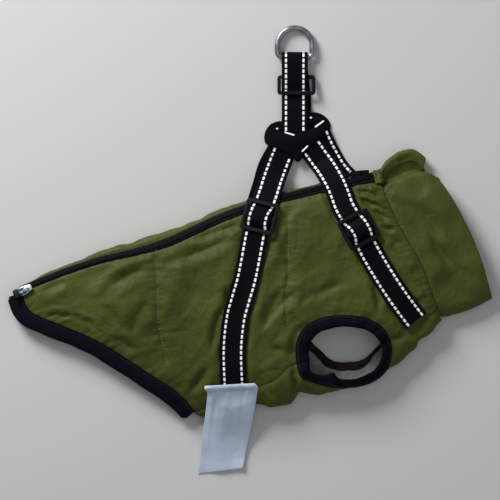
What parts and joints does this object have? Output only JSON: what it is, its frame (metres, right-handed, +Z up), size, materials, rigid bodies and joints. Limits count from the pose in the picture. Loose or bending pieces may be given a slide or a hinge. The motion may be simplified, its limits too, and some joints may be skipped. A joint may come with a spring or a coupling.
{
  "type": "dog winter coat",
  "caption": "Padded winter coat for a dog with a webbing harness sewn on, a back zip, a tall collar and bound armholes, lying flat on its side.",
  "frame": {"origin": "centre of the coat's box, on the surface it lies on", "axes": "+X towards the neck, +Y towards the back of the dog and the steel ring, +Z up from the surface"},
  "size_m": [0.4636, 0.431, 0.0324],
  "materials": {
    "shell_fabric": "olive green padded polyester, faintly glossy",
    "zip_fabric": "black zip tape with nylon coil",
    "binding": "black elastic binding",
    "webbing": "black woven webbing with reflective stitches",
    "label_fabric": "plain white satin",
    "black_plastic": "black moulded plastic",
    "slider_metal": "bright painted zinc",
    "ring_steel": "nickel plated steel"
  },
  "bodies": {
    "coat": {"side_panel_near": "shell_fabric", "side_panel_far": "shell_fabric", "belly_panel": "shell_fabric", "collar": "shell_fabric", "zip_tape": "zip_fabric", "hem_binding_near": "binding", "hem_binding_far": "binding", "armhole_binding_near": "binding", "armhole_binding_far": "binding", "care_label": "label_fabric", "rear_strap_near": "webbing", "rear_strap_far": "webbing", "front_strap_near": "webbing", "front_strap_far": "webbing", "handle_strap": "webbing", "junction_patch_near": "webbing", "junction_patch_far": "webbing", "zip_slider": "slider_metal", "glide_rear_near": "black_plastic", "glide_front_near": "black_plastic", "glide_rear_far": "black_plastic", "glide_front_far": "black_plastic", "handle_keeper": "black_plastic"},
    "ring": {"d_ring": "ring_steel"},
    "pull": {"zip_pull": "black_plastic"}
  },
  "joints": [
    {"name": "ring_hinge", "type": "hinge", "parent": "coat", "child": "ring", "pos_m": [0.04301, 0.18534, 0.00465], "axis": [1, 0, 0], "range_deg": [0, 150]},
    {"name": "pull_hinge", "type": "hinge", "parent": "coat", "child": "pull", "pos_m": [-0.21672, -0.03845, 0.0128], "axis": [-0.4181, 0.8606, -0.2908], "range_deg": [0, 150]}
  ]
}
